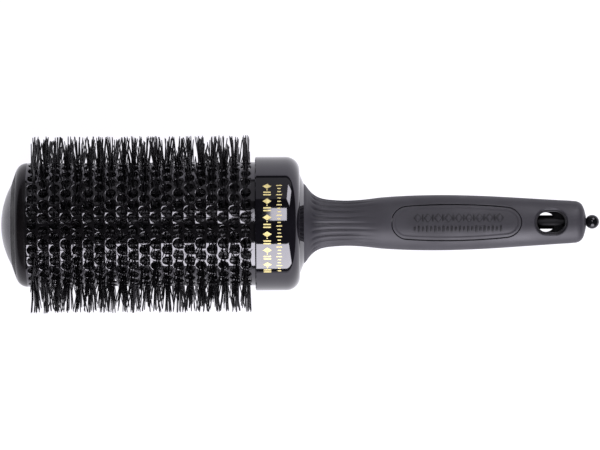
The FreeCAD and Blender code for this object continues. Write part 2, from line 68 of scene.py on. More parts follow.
def mesh_piece(name, points, faces, body, material, sharp=math.radians(40)):
    """A mesh in metres from points in millimetres; edges bent more than sharp stay crisp."""
    mesh = bpy.data.meshes.new(name)
    mesh.from_pydata([Vector(point) * MM for point in points], [], faces)
    mesh.validate()
    mesh.polygons.foreach_set("use_smooth", [True] * len(mesh.polygons))
    mesh.set_sharp_from_angle(angle=sharp)
    mesh.materials.append(material)
    piece = bpy.data.objects.new(name, mesh)
    bpy.context.scene.collection.objects.link(piece)
    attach(piece, body)
    return piece


def span(node):
    """Start and end of a CAD node along X, in millimetres."""
    low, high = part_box(node)
    return low[0] / MM, high[0] / MM


def rounded(corners, steps=8):
    """An outline of (x, r, corner radius) corners as points, with its corners rounded off."""
    points = []
    for index, (x, r, radius) in enumerate(corners):
        here = Vector((x, r))
        if radius == 0:
            points.append(here)
            continue
        before = Vector(corners[index - 1][:2]) - here
        after = Vector(corners[(index + 1) % len(corners)][:2]) - here
        turn = before.angle(after)
        reach = radius / math.tan(turn / 2)
        first, last = here + before.normalized() * reach, here + after.normalized() * reach
        inward = (before.normalized() + after.normalized()).normalized()
        centre = here + inward * radius / math.sin(turn / 2)
        arm = first - centre
        sweep = arm.angle_signed(last - centre)
        for step in range(steps + 1):
            angle = -sweep * step / steps
            cos, sin = math.cos(angle), math.sin(angle)
            points.append(centre + Vector((arm.x * cos - arm.y * sin, arm.x * sin + arm.y * cos)))
    return points


def arc_through(start, stop, radius, steps):
    """Points after start up to stop on an arc that bulges away from the axis or towards -X."""
    chord = Vector(stop) - Vector(start)
    middle = Vector(start) + chord / 2
    normal = Vector((-chord.y, chord.x)).normalized()
    centre = middle - normal * math.sqrt(radius**2 - chord.length_squared / 4)
    begin, end = Vector(start) - centre, Vector(stop) - centre
    a, b = math.atan2(begin.y, begin.x), math.atan2(end.y, end.x)
    if b > a:
        b -= 2 * math.pi
    turns = [a + (b - a) * step / steps for step in range(1, steps + 1)]
    return [centre + Vector((math.cos(t), math.sin(t))) * radius for t in turns]


def turned(name, outline, body, material, segments=160, closed=True, sharp=math.radians(40)):
    """A solid turned about the X axis from an outline of (x, r) points.

    A closed outline is joined from its last point to its first; an open one starts and ends
    on the axis.
    """
    points, faces = [], []
    rings = []
    for x, r in outline:
        if r < 1e-6:
            rings.append([len(points)] * segments)
            points.append((x, 0, 0))
            continue
        rings.append(list(range(len(points), len(points) + segments)))
        for index in range(segments):
            angle = 2 * math.pi * index / segments
            points.append((x, r * math.sin(angle), r * math.cos(angle)))
    count = len(rings)
    for ring in range(count if closed else count - 1):
        a, b = rings[ring], rings[(ring + 1) % count]
        for index in range(segments):
            after = (index + 1) % segments
            corners = [a[index], b[index], b[after], a[after]]
            unique = list(dict.fromkeys(corners))
            if len(unique) > 2:
                faces.append(unique)
    return mesh_piece(name, points, faces, body, material, sharp)


def smoothstep(low, high, value):
    t = min(max((value - low) / (high - low), 0), 1)
    return t * t * (3 - 2 * t)


# ---- materials ------------------------------------------------------------------------------------


class Paint:
    """Builds one procedural material around a Principled shader."""

    def __init__(self, name, **sockets):
        self.material = bpy.data.materials.new(name)
        self.material.use_nodes = True
        self.tree = self.material.node_tree
        self.shader = self.tree.nodes["Principled BSDF"]
        for socket, value in sockets.items():
            self.shader.inputs[socket.replace("_", " ")].default_value = value

    def node(self, kind, **values):
        made = self.tree.nodes.new(kind)
        for key, value in values.items():
            if key in made.inputs:
                made.inputs[key].default_value = value
            else:
                setattr(made, key, value)
        return made

    def link(self, source, target):
        self.tree.links.new(source, target)

    def place(self):
        """Object coordinates, in metres, so a pattern's scale is per metre."""
        return self.node("ShaderNodeTexCoord").outputs["Object"]

    def noise(self, scale, detail=4.0, roughness=0.55):
        noise = self.node("ShaderNodeTexNoise", Scale=scale, Detail=detail, Roughness=roughness)
        self.link(self.place(), noise.inputs["Vector"])
        return noise.outputs["Fac"]

    def ramp(self, source, stops):
        ramp = self.node("ShaderNodeValToRGB")
        while len(ramp.color_ramp.elements) < len(stops):
            ramp.color_ramp.elements.new(0.5)
        for element, (position, value) in zip(ramp.color_ramp.elements, stops):
            element.position = position
            element.color = value if len(value) == 4 else (*value, 1)
        self.link(source, ramp.inputs["Fac"])
        return ramp.outputs["Color"]

    def colour(self, source, dark, light, low=0.3, high=0.7):
        self.link(self.ramp(source, [(low, dark), (high, light)]), self.shader.inputs["Base Color"])

    def roughness(self, source, smooth, rough, low=0.3, high=0.7):
        stops = [(low, (smooth,) * 3), (high, (rough,) * 3)]
        self.link(self.ramp(source, stops), self.shader.inputs["Roughness"])

    def bump(self, source, distance, strength=1.0, after=None):
        bump = self.node("ShaderNodeBump", Strength=strength, Distance=distance)
        self.link(source, bump.inputs["Height"])
        if after:
            self.link(after, bump.inputs["Normal"])
        self.link(bump.outputs["Normal"], self.shader.inputs["Normal"])
        return bump.outputs["Normal"]


VIOLET = (0.92, 0.89, 1.0, 1)  # the black plastics reflect with a slight violet cast


def ceramic_coating():
    """Glossy black baked coating with a faint orange peel and fine mineral flecks."""
    paint = Paint("ceramic_coating", IOR=1.65, Specular_Tint=VIOLET)
    paint.colour(paint.noise(5200, 2.0), (0.003, 0.0026, 0.0032), (0.009, 0.008, 0.0095), 0.45, 0.75)
    paint.roughness(paint.noise(240, 3.0), 0.05, 0.11)
    peel = paint.bump(paint.noise(170, 2.0), 0.00007, 0.5)
    paint.bump(paint.noise(1500, 2.0), 0.000006, 0.35, peel)
    return paint.material


def gloss_plastic(name, dark, light, smooth, rough, ior=1.5):
    """Polished moulded plastic with handling haze and a slight flow ripple."""
    paint = Paint(name, IOR=ior, Specular_Tint=VIOLET)
    paint.colour(paint.noise(90, 3.0), dark, light)
    paint.roughness(paint.noise(160, 5.0), smooth, rough)
    ripple = paint.bump(paint.noise(35, 1.0), 0.00004, 0.15)
    paint.bump(paint.noise(3500, 2.0), 0.000003, 0.25, ripple)
    return paint.material


def bristle_nylon():
    """Black nylon filament, drawn along its length, so streaked and a little waxy."""
    paint = Paint("bristle_nylon", IOR=1.45, Specular_Tint=VIOLET)
    paint.colour(paint.noise(700, 3.0), (0.0012, 0.001, 0.0014), (0.004, 0.0035, 0.0045))
    paint.roughness(paint.noise(1500, 2.0), 0.22, 0.38)
    paint.bump(paint.noise(6000, 2.0), 0.00001, 0.4)
    return paint.material


def soft_touch(name, dark, light):
    """Soft-touch rubber: fine spark texture, cloudy tone and slightly polished patches."""
    paint = Paint(name, IOR=1.45, Specular_Tint=VIOLET)
    cloud = paint.noise(60, 6.0, 0.6)
    paint.colour(cloud, dark, light, 0.35, 0.68)
    paint.roughness(paint.noise(45, 5.0), 0.46, 0.62)
    grain = paint.bump(paint.noise(5200, 3.0, 0.7), 0.000025, 0.55)
    paint.bump(paint.noise(900, 3.0), 0.00002, 0.25, grain)
    return paint.material


def brushed_metal(name, dark, light, rough):
    """Turned or plated metal, with fine rings round the brush's axis."""
    paint = Paint(name, Metallic=1.0)
    paint.colour(paint.noise(300, 4.0), dark, light)
    wave = paint.node("ShaderNodeTexWave", Scale=900.0, Distortion=1.5, Detail=2.0)
    wave.bands_direction = "X"
    paint.link(paint.place(), wave.inputs["Vector"])
    paint.roughness(wave.outputs["Fac"], rough * 0.8, rough * 1.2)
    paint.bump(wave.outputs["Fac"], 0.00001, 0.3)
    return paint.material


def moulded_plastic(name, dark, light):
    """Plain satin engineering plastic."""
    paint = Paint(name, IOR=1.49)
    paint.colour(paint.noise(150, 4.0), dark, light)
    paint.roughness(paint.noise(400, 4.0), 0.32, 0.5)
    paint.bump(paint.noise(2400, 3.0), 0.00001, 0.5)
    return paint.material


def gold_foil():
    """Hot-stamped pale gold foil with a slightly uneven lustre."""
    paint = Paint("gold_foil", Metallic=0.1)
    paint.colour(paint.noise(800, 4.0), (0.6, 0.48, 0.19), (0.82, 0.7, 0.34))
    paint.roughness(paint.noise(1500, 3.0), 0.32, 0.5)
    paint.bump(paint.noise(5000, 3.0), 0.00001, 0.5)
    return paint.material


def floor_paper():
    """Pale seamless studio paper."""
    paint = Paint("floor_paper", Roughness=0.9, Emission_Strength=0.92)
    paint.colour(paint.noise(6, 3.0), (0.14, 0.14, 0.142), (0.16, 0.16, 0.16))
    paint.bump(paint.noise(900, 2.0), 0.0001, 0.1)
    paint.shader.inputs["Emission Color"].default_value = (1.0, 0.985, 1.06, 1)
    return paint.material


INK = ((0.001, 0.001, 0.0012), (0.003, 0.003, 0.0035))  # the deep black of the inner mouldings

ceramic = ceramic_coating()
nylon = bristle_nylon()
cap_black = gloss_plastic("cap_gloss", (0.004, 0.0034, 0.004), (0.009, 0.0078, 0.009), 0.16, 0.28, 1.27)
dome_grey = gloss_plastic("dome_gloss", (0.03, 0.028, 0.036), (0.045, 0.043, 0.053), 0.2, 0.32)
collar_tones = ((0.002, 0.0018, 0.0028), (0.0045, 0.004, 0.006))
collar_black = gloss_plastic("collar_gloss", *collar_tones, 0.03, 0.07, 1.6)
tube_black = gloss_plastic("tube_gloss", (0.001, 0.001, 0.0013), (0.003, 0.003, 0.0035), 0.42, 0.5, 1.28)
ball_black = gloss_plastic("ball_gloss", (0.0015, 0.0015, 0.002), (0.004, 0.004, 0.005), 0.1, 0.18, 1.35)
needle_black = gloss_plastic("needle_steel", (0.02, 0.02, 0.022), (0.04, 0.04, 0.043), 0.15, 0.3)
grip_soft = soft_touch("soft_grip", (0.0185, 0.0173, 0.0225), (0.0265, 0.025, 0.032))
panel_soft = soft_touch("soft_panel", (0.0185, 0.0172, 0.022), (0.0265, 0.025, 0.0315))
# Dark marks; the same material also paints the shade round the raised lozenges on the panels.
marks_and_painted_shade = soft_touch("soft_marks_and_painted_shade", (0.005, 0.0046, 0.006), (0.009, 0.0085, 0.0107))
# Painted shade: a duller, less reflective finish for the thin ring laid over the cap's cone, so that the
# cone mirrors less of the bright floor.
cone_painted_shade = gloss_plastic("cap_cone_painted_shade", (0.006, 0.0056, 0.0062), (0.01, 0.0094, 0.0105), 0.42, 0.55, 1.17)
rim_dark = soft_touch("recess_rim", (0.005, 0.0046, 0.0058), (0.008, 0.0074, 0.0092))
core_dark = gloss_plastic("core_plastic", *INK, 0.08, 0.14, 1.35)
carrier_dark = gloss_plastic("carrier_plastic", *INK, 0.12, 0.25, 1.4)
stop_pale = moulded_plastic("stop_plastic", (0.5, 0.5, 0.48), (0.62, 0.62, 0.6))
ring_black = moulded_plastic("ring_rubber", (0.01, 0.01, 0.01), (0.025, 0.025, 0.025))
zinc = brushed_metal("zinc_steel", (0.5, 0.5, 0.5), (0.7, 0.7, 0.68), 0.35)
gold = gold_foil()


# ---- the perforated barrel ------------------------------------------------------------------------

BARREL_R = 27.8
SLEEVE_WALL = 0.8
HOLE_R = 2.1
HOLE_FIRST, HOLE_PITCH = -106.9, 5.01  # first column of holes, and the columns' spacing
COLUMNS, ROWS = 20, 30
SIDE_STEPS = 6  # points along each side of the cell round a hole
# The hole's edge is rolled inwards: distance beyond the hole's wall, and depth under the surface.
HOLE_LIP = [(0.45, 0.0), (0.22, 0.06), (0.06, 0.2), (0.0, 0.42), (0.0, SLEEVE_WALL)]


def on_barrel(x, arc, depth=0.0):
    """A point on the barrel, from its place along X and its arc length round it, in millimetres."""
    angle = arc / BARREL_R
    radius = BARREL_R - depth
    return (x, radius * math.sin(angle), radius * math.cos(angle))


def perforated_sleeve():
    """The barrel's tube, with its staggered holes."""
    start, stop = span("barrel_sleeve")
    cell_x, cell_arc = HOLE_PITCH, 2 * math.pi * BARREL_R / ROWS
    turn_steps = ROWS * SIDE_STEPS
    points, faces = [], []
    shared = {}

    def add(x, arc, depth):
        points.append(on_barrel(x, arc, depth))
        return len(points) - 1

    def corner(x, turn, side):
        """A point shared by neighbouring cells, on the outside (side 0) or the inside (side 1)."""
        key = (round(x, 3), turn % turn_steps, side)
        if key not in shared:
            shared[key] = add(x, cell_arc * turn / SIDE_STEPS, SLEEVE_WALL * side)
        return shared[key]

    half = SIDE_STEPS // 2
    border = [(-half + i, -half) for i in range(SIDE_STEPS)]
    border += [(half, -half + i) for i in range(SIDE_STEPS)]
    border += [(half - i, half) for i in range(SIDE_STEPS)]
    border += [(-half, half - i) for i in range(SIDE_STEPS)]
    count = len(border)
    for column in range(COLUMNS):
        centre_x = HOLE_FIRST + column * HOLE_PITCH
        for row in range(ROWS):
            centre_turn = row * SIDE_STEPS + half * (column % 2)
            outside, inside = (
                [corner(centre_x + a * cell_x / SIDE_STEPS, centre_turn + b, side) for a, b in border]
                for side in (0, 1)
            )
            rings = [outside]
            for beyond, depth in HOLE_LIP:
                ring = []
                for a, b in border:
                    along, across = a * cell_x / SIDE_STEPS, b * cell_arc / SIDE_STEPS
                    scale = (HOLE_R + beyond) / math.hypot(along, across)
                    arc = cell_arc * centre_turn / SIDE_STEPS + across * scale
                    ring.append(add(centre_x + along * scale, arc, depth))
                rings.append(ring)
            rings.append(inside)
            for a, b in zip(rings, rings[1:]):
                for i in range(count):
                    j = (i + 1) % count
                    faces.append((a[i], a[j], b[j], b[i]))
    first = HOLE_FIRST - cell_x / 2
    last = HOLE_FIRST + (COLUMNS - 0.5) * cell_x
    for a, b in ((start, first), (last, stop)):
        for turn in range(turn_steps):
            front = [corner(a, turn, 0), corner(b, turn, 0), corner(b, turn + 1, 0), corner(a, turn + 1, 0)]
            back = [corner(a, turn, 1), corner(a, turn + 1, 1), corner(b, turn + 1, 1), corner(b, turn, 1)]
            faces += [front, back]
    for x in (start, stop):
        for turn in range(turn_steps):
            rim = [corner(x, turn, 0), corner(x, turn + 1, 0), corner(x, turn + 1, 1), corner(x, turn, 1)]
            faces.append(rim if x == start else rim[::-1])
    sleeve = mesh_piece("sleeve_perforated", points, faces, BRUSH, ceramic, math.radians(60))
    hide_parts("barrel_sleeve")


# ---- bristles -------------------------------------------------------------------------------------

STRIP_FLOOR = 22.5  # distance of a strip's underside from the axis
RAIL_WIDTH, RAIL_HEIGHT = 3.8, 1.5
TUFT_OFFSET = 1.3  # the tufts zigzag this far to each side of the strip
BRISTLE_REACH = 39.9
FILAMENT_R = 0.26
FILAMENT_SIDES = 6
FOOT_Z = STRIP_FLOOR + RAIL_HEIGHT - 0.1  # the filaments start just under the rail's top
EDGE_GAP = 0.2  # least gap between a filament and its hole's edge
FILAMENT_LEVELS = [(0.0, 1.0), (0.35, 1.0), (0.68, 0.97), (0.93, 0.92), (1.0, 0.62)]  # height, width
TUFT_SIZES = (3, 4, 4, 5, 5)  # filaments in a tuft
TUFT_SPREAD = 1.15  # radius of a tuft at its foot
TUFT_SHIFT = 0.7  # how far a tuft may start from its hole's centre, along X
TUFT_LEAN_X, TUFT_LEAN_Y = 0.06, 0.05  # scatter of the tufts' leans, in radians
LEAN_X, LEAN_Y = 0.09, 0.04  # scatter of the filaments' leans within a tuft
SPLAY_X, SPLAY_Y = 0.04, 0.05  # outward lean for each millimetre off the tuft's centre
TIP_SCATTER = 0.45  # unevenness of the trimmed tips
SHORT_SHARE, SHORT_BY = 0.08, (1.0, 4.0)  # the few filaments that end well below the others
BOW = 0.25  # scatter of the filaments' bow, at the tip
CALM_END = 7.0  # tufts this near to an end of the barrel stand straighter than the others
CAP_LEAN = 0.07  # how far those at the cap lean back over the barrel


def filament(points, faces, foot, lean_x, lean_y, length, bow):
    """One tapering, slightly bowed filament that rises from foot along the strip's own Z."""
    base = len(points)
    for level, width in FILAMENT_LEVELS:
        rise = length * level
        x = foot[0] + math.tan(lean_x) * rise + bow[0] * level**2
        y = foot[1] + math.tan(lean_y) * rise + bow[1] * level**2
        for side in range(FILAMENT_SIDES):
            angle = 2 * math.pi * side / FILAMENT_SIDES
            radius = FILAMENT_R * width
            points.append((x + radius * math.cos(angle), y + radius * math.sin(angle), foot[2] + rise))
    top = base + (len(FILAMENT_LEVELS) - 1) * FILAMENT_SIDES
    for low in range(base, top, FILAMENT_SIDES):
        high = low + FILAMENT_SIDES
        for side in range(FILAMENT_SIDES):
            after = (side + 1) % FILAMENT_SIDES
            faces.append((low + side, low + after, high + after, high + side))
    faces.append(tuple(range(top, top + FILAMENT_SIDES)))
    faces.append(tuple(range(base + FILAMENT_SIDES - 1, base - 1, -1)))


def clear_of_edge(foot_x, foot_y, lean_x, lean_y):
    """A filament's foot, moved so that the filament passes its hole clear of the edge.

    The foot is given and returned as seen from the hole's centre.
    """
    rise = BARREL_R - SLEEVE_WALL / 2 - FOOT_Z
    pass_x, pass_y = foot_x + math.tan(lean_x) * rise, foot_y + math.tan(lean_y) * rise
    room = HOLE_R - FILAMENT_R - EDGE_GAP
    excess = max(1 - room / math.hypot(pass_x, pass_y), 0)
    return foot_x - pass_x * excess, foot_y - pass_y * excess


def tuft(points, faces, x, side):
    """A loose bunch of filaments that comes out through one hole."""
    hole_x, hole_y = x, math.copysign(BARREL_R * math.sin(math.pi / 2 / ROWS), side)
    from_end = min(x - HOLE_FIRST, HOLE_FIRST + (COLUMNS - 1) * HOLE_PITCH - x)
    loose = 0.4 + 0.6 * min(1.0, from_end / CALM_END)
    inward = CAP_LEAN * math.exp((HOLE_FIRST - x) / CALM_END)
    tuft_lean_x = inward + loose * dice.gauss(0, TUFT_LEAN_X)
    tuft_lean_y = dice.gauss(0, TUFT_LEAN_Y)
    x += dice.uniform(-TUFT_SHIFT, TUFT_SHIFT)
    for _ in range(dice.choice(TUFT_SIZES)):
        angle, spread = dice.uniform(0, 2 * math.pi), TUFT_SPREAD * math.sqrt(dice.random())
        along, across = spread * math.cos(angle), spread * math.sin(angle)
        lean_x = tuft_lean_x + SPLAY_X * along + loose * dice.gauss(0, LEAN_X)
        lean_y = tuft_lean_y + SPLAY_Y * across + dice.gauss(0, LEAN_Y)
        reach = BRISTLE_REACH - abs(dice.gauss(0, TIP_SCATTER))
        if dice.random() < SHORT_SHARE:
            reach -= dice.uniform(*SHORT_BY)
        sway = side + across + math.tan(lean_y) * (reach - FOOT_Z)
        length = (math.sqrt(reach**2 - sway**2) - FOOT_Z) * math.cos(lean_x) ** 0.5
        bow = (dice.gauss(0, BOW), dice.gauss(0, BOW))
        foot_x, foot_y = clear_of_edge(x + along - hole_x, side + across - hole_y, lean_x, lean_y)
        filament(points, faces, (hole_x + foot_x, hole_y + foot_y, FOOT_Z), lean_x, lean_y, length, bow)


def rail(points, faces, start, stop):
    """The strip's body: a bar with its top edges broken."""
    half, top, edge = RAIL_WIDTH / 2, STRIP_FLOOR + RAIL_HEIGHT, 0.25
    section = [(-half, STRIP_FLOOR), (half, STRIP_FLOOR), (half, top - edge)]
    section += [(half - edge, top), (edge - half, top), (-half, top - edge)]
    base = len(points)
    for x in (start, stop):
        points += [(x, y, z) for y, z in section]
    count = len(section)
    for i in range(count):
        j = (i + 1) % count
        faces.append((base + i, base + j, base + count + j, base + count + i))
    faces.append(tuple(range(base + count - 1, base - 1, -1)))
    faces.append(tuple(range(base + count, base + 2 * count)))


def bristle_strips():
    """The strips round the barrel, each with its rail and its zigzag row of tufts."""
    for number in range(ROWS):
        node = f"bristle_strip_{number + 1:02d}"
        start, stop = span(node)
        points, faces = [], []
        rail(points, faces, start, stop)
        for column in range(COLUMNS):
            side = TUFT_OFFSET * (1 if column % 2 else -1)
            tuft(points, faces, HOLE_FIRST + column * HOLE_PITCH, side)
        angle = 2 * math.pi / ROWS * (number + 0.25)
        cos, sin = math.cos(angle), math.sin(angle)
        placed = [(x, y * cos + z * sin, z * cos - y * sin) for x, y, z in points]
        strip = mesh_piece(f"bristles_{number + 1:02d}", placed, faces, BRUSH, nylon, math.radians(50))
        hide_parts(node)


# ---- end cap, dome and collar -----------------------------------------------------------------------

CAP_LIP_R = 19.0
SHOULDER_ROUND = 5.0  # radius of the cap's round shoulder in profile
SHOULDER_FROM, SHOULDER_SWEEP = 159.5, 69.5  # the shoulder's arc, in degrees, from the cone to the barrel
SHOULDER_STEPS = 16
SPIGOT_R, SPIGOT_BORE = 21.25, 19.45
SNAP_R, SNAP_BORE = 15.0, 13.6  # the dome's snap ring
DOME_RIM_R, DOME_BALL_R, DOME_WALL = 18.95, 37.76, 1.6
SHADE_RING_LIFT = 0.06  # the painted-shade ring stands this proud of the cone


def end_cap():
    """The cap's rim, round shoulder and spigot, and a thin, duller ring laid over its cone as painted
    shade.
    """
    start, spigot_end = span("end_cap")
    seam = span("barrel_sleeve")[0]
    seat, web_back, step_end = start + 1.2, seam - 1.3, seam + 0.5
    inside, snap_hole, chamfer = BARREL_R - SLEEVE_WALL - 0.05, SNAP_R + 0.05, 0.06
    centre_x, centre_r = seam - 0.2, BARREL_R - SHOULDER_ROUND
    shoulder = []
    for step in range(SHOULDER_STEPS + 1):
        angle = math.radians(SHOULDER_FROM - SHOULDER_SWEEP * step / SHOULDER_STEPS)
        x, r = SHOULDER_ROUND * math.cos(angle), SHOULDER_ROUND * math.sin(angle)
        shoulder.append((centre_x + x, centre_r + r, 0))
    corners = [(seat, snap_hole, 0), (seat, CAP_LIP_R, 0), (start, CAP_LIP_R, 0.2)] + shoulder
    corners += [(seam - chamfer, BARREL_R, 0), (seam, BARREL_R - chamfer, 0), (seam, inside, 0)]
    corners += [(step_end, inside, 0), (step_end, SPIGOT_R, 0), (spigot_end, SPIGOT_R, 0.3)]
    corners += [(spigot_end, SPIGOT_BORE, 0), (web_back, SPIGOT_BORE, 0), (web_back, snap_hole, 0)]
    cap = turned("cap_rim", rounded(corners), BRUSH, cap_black)
    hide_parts("end_cap")
    # Painted shade: a thin, less reflective ring over the cone darkens the cone's reflection.
    low, high = Vector((start, CAP_LIP_R + 0.1)), Vector(shoulder[0][:2])
    proud = Vector((low.y - high.y, high.x - low.x)).normalized() * SHADE_RING_LIFT
    ring = [low - proud * 2, low + proud, high + proud, high - proud * 2]
    shade_ring = turned("cap_cone_shade_ring", ring, BRUSH, cone_painted_shade)


def dome_cover():
    """The shallow dome with a softened edge, and the snap ring behind it."""
    tip, ring_end = span("dome_cover")
    seat = span("end_cap")[0] + 1.3
    edge = 0.35
    rim_x = tip + DOME_BALL_R - math.sqrt(DOME_BALL_R**2 - DOME_RIM_R**2)
    outline = [(tip, 0)] + arc_through((tip, 0), (rim_x - 0.02, DOME_RIM_R - edge), DOME_BALL_R, 40)
    outline += [(rim_x + 0.12, DOME_RIM_R - 0.02), (rim_x + 0.5, DOME_RIM_R), (seat, DOME_RIM_R)]
    outline += [(seat, SNAP_R), (ring_end, SNAP_R), (ring_end, SNAP_BORE), (tip + 4.3, SNAP_BORE)]
    outline += [(tip + 2.4, 8), (tip + DOME_WALL, 0)]
    dome = turned("cap_dome", outline, BRUSH, dome_grey, closed=False)
    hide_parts("dome_cover")


COLLAR_R = 30.05
COLLAR_ROUND = 6.3
CONE_START_R, CONE_STOP_R = 22.3, 18.0  # the cone between the collar's round corner and the neck
SOCKET_R, BOSS_R = 11.1, 13.2  # the tang's socket, and the boss round it
CAVITY_R, CAVITY_FLOOR_R = 23.5, 20.5
HUB_SEAT_R = 25.3


def hub_collar():
    """The glossy collar: a cup with a round corner and a cone outside, and a boss inside."""
    start, stop = span("hub_collar")
    sleeve_stop, boss_stop = span("barrel_sleeve")[1], span("carrier_hub")[1]
    shoulder, cavity_taper, cavity_floor = stop - 1.8, 6.0, 9.6
    bore = BARREL_R + 0.06
    corners = [
        (start, bore, 0.2),
        (start, COLLAR_R, 0.6),
        (shoulder, COLLAR_R, COLLAR_ROUND),
        (shoulder, CONE_START_R, 0.25),
        (stop, CONE_STOP_R, 0.2),
        (stop, SOCKET_R, 0),
        (boss_stop, SOCKET_R, 0),
        (boss_stop, BOSS_R, 0),
        (cavity_floor, BOSS_R, 0),
        (cavity_floor, CAVITY_FLOOR_R, 0),
        (cavity_taper, CAVITY_R, 0),
        (boss_stop, CAVITY_R, 0),
        (boss_stop, HUB_SEAT_R, 0),
        (sleeve_stop, HUB_SEAT_R, 0),
        (sleeve_stop, bore, 0),
    ]
    outline = rounded(corners, 16)
    collar = turned("collar_shell", outline, BRUSH, collar_black, 256)
    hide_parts("hub_collar")


FOIL_LIFT = 0.03  # thickness of the stamped foil
WIDE_ROW, FINE_ROW = -2.15, 3.2  # places of the two rows along X
WIDE_START, WIDE_PITCH, WIDE_COUNT = 17.6, 3.72, 12  # marks round the band, in millimetres of arc
FINE_START, FINE_PITCH, FINE_COUNT = 18.0, 1.59, 27
FINE_LENGTHS = (1.3, 0.8, 0.8)


def foil_mark(points, faces, outline, x, turn):
    """One flat foil shape on the collar's band, from its outline round (x, turn in mm of arc)."""
    base = len(points)
    for lift in (0.0, FOIL_LIFT):
        for along, across in outline:
            angle = (turn + across) / COLLAR_R
            radius = COLLAR_R + lift
            points.append((x + along, radius * math.sin(angle), radius * math.cos(angle)))
    count = len(outline)
    faces.append(tuple(range(base + count, base + 2 * count)))
    faces.append(tuple(range(base + count - 1, base - 1, -1)))
    for i in range(count):
        j = (i + 1) % count
        faces.append((base + i, base + j, base + count + j, base + count + i))


def dot(radius, steps=20):
    """A small round dot."""
    angles = [2 * math.pi * step / steps for step in range(steps)]
    return [(radius * math.cos(angle), radius * math.sin(angle)) for angle in angles]


def lozenge(along, across):
    return [(-along, 0), (0, -across), (along, 0), (0, across)]


def bar(along, across):
    """A bar with rounded ends, 2 * along wide and 2 * across long."""
    points = []
    for end in (1, -1):
        for step in range(7):
            angle = math.pi * step / 6
            points.append((end * along * math.cos(angle), end * (across - along + along * math.sin(angle))))
    return points


def sideways(outline):
    """The outline turned by a quarter."""
    return [(-across, along) for along, across in outline]


def collar_foil():
    """A generic stamped frieze: lozenges and dots between pairs of bars, and a finer row beside it."""
    points, faces = [], []
    for index in range(WIDE_COUNT):
        turn = WIDE_START - index * WIDE_PITCH
        if index % 2:
            for shift in (-0.62, 0.62):
                foil_mark(points, faces, sideways(bar(0.32, 1.75)), WIDE_ROW, turn + shift)
        else:
            foil_mark(points, faces, lozenge(2.0, 1.3), WIDE_ROW, turn)
            foil_mark(points, faces, dot(0.3), WIDE_ROW, turn - WIDE_PITCH / 2)
    for index in range(FINE_COUNT):
        stroke = bar(0.25, FINE_LENGTHS[index % len(FINE_LENGTHS)])
        foil_mark(points, faces, sideways(stroke), FINE_ROW, FINE_START - index * FINE_PITCH)
    foil = mesh_piece("collar_foil", points, faces, BRUSH, gold)


# ---- the handle --------------------------------------------------------------------------------------

# Place along X, half width and half height: a round neck that flattens into an oval grip.
GRIP_OUTLINE = [
    (14.2, 18.0, 18.0),
    (15.1, 17.1, 17.1),
    (16.1, 15.7, 15.7),
    (17.3, 14.3, 14.3),
    (19.1, 12.8, 12.8),
    (21.4, 11.6, 11.6),
    (24.2, 10.9, 10.9),
    (28.0, 10.5, 10.5),
    (33.0, 10.25, 10.2),
    (40.0, 10.55, 10.2),
    (48.8, 11.5, 10.4),
    (59.6, 12.15, 10.4),
    (76.7, 12.45, 10.2),
    (95.6, 11.9, 9.7),
    (115.9, 10.7, 8.75),
    (129.4, 9.85, 8.05),
    (135.0, 9.5, 7.8),
    (137.2, 9.2, 7.55),
    (138.5, 8.55, 7.05),
    (139.6, 7.3, 6.1),
    (140.4, 5.35, 4.6),
    (141.0, 2.95, 2.7),
]
GRIP_START, GRIP_STOP = GRIP_OUTLINE[0][0], GRIP_OUTLINE[-1][0]
GRIP_SEGMENTS = 192
# The mesh's stations along the grip: their spacing and number, fine at the panel, recess and tail.
GRID_ZONES = [(0.35, 34), (0.8, 32), (0.33, 255), (0.25, 10), (0.15, 17)]
FLUTES = 24
FLUTE_DEPTH = 0.7
FLUTE_START, FLUTE_FADE = (16.6, 19.2), (28.0, 50.0)  # where the flutes deepen and where they run out


def chord_slope(i, j, column):
    """Steepness of the straight line between two stations of the outline."""
    first, last = GRIP_OUTLINE[i], GRIP_OUTLINE[j]
    return (last[column] - first[column]) / (last[0] - first[0])


def station_slope(i, column):
    """Steepness of the smooth outline at a station, from the chords on both sides of it."""
    end = len(GRIP_OUTLINE) - 1
    if i in (0, end):
        return chord_slope(max(i - 1, 0), min(i + 1, end), column)
    before = GRIP_OUTLINE[i][0] - GRIP_OUTLINE[i - 1][0]
    after = GRIP_OUTLINE[i + 1][0] - GRIP_OUTLINE[i][0]
    left, right = chord_slope(i - 1, i, column), chord_slope(i, i + 1, column)
    return (left * after + right * before) / (before + after)


def spline_value(x, column):
    """The outline's half width (column 1) or half height (column 2) at x, on a smooth curve."""
    index = 0
    while index < len(GRIP_OUTLINE) - 2 and x > GRIP_OUTLINE[index + 1][0]:
        index += 1
    a, b = GRIP_OUTLINE[index], GRIP_OUTLINE[index + 1]
    width = b[0] - a[0]
    t = min(max((x - a[0]) / width, 0), 1)
    rise, fall = station_slope(index, column), station_slope(index + 1, column)
    h00, h10 = 2 * t**3 - 3 * t**2 + 1, t**3 - 2 * t**2 + t
    h01, h11 = 3 * t**2 - 2 * t**3, t**3 - t**2
    return h00 * a[column] + h10 * width * rise + h01 * b[column] + h11 * width * fall


def flute(x, angle):
    """Depth of the neck's flutes: full where they start, and fading out along the grip."""
    start = smoothstep(*FLUTE_START, x)
    fade = 1 - smoothstep(*FLUTE_FADE, x)
    scoop = (0.5 + 0.5 * math.cos(FLUTES * angle)) ** 2.5
    return FLUTE_DEPTH * start * fade * scoop


def grip_point(x, angle):
    """A point of the grip's skin, with the flutes cut in."""
    wide, high = spline_value(x, 1), spline_value(x, 2)
    cut = flute(x, angle)
    return (x, (wide - cut) * math.sin(angle), (high - cut) * math.cos(angle))


def surface_height(x, y):
    """Height of the grip's upper face above the axis plane."""
    wide, high = spline_value(x, 1), spline_value(x, 2)
    return high * math.sqrt(max(1 - (y / wide) ** 2, 0))


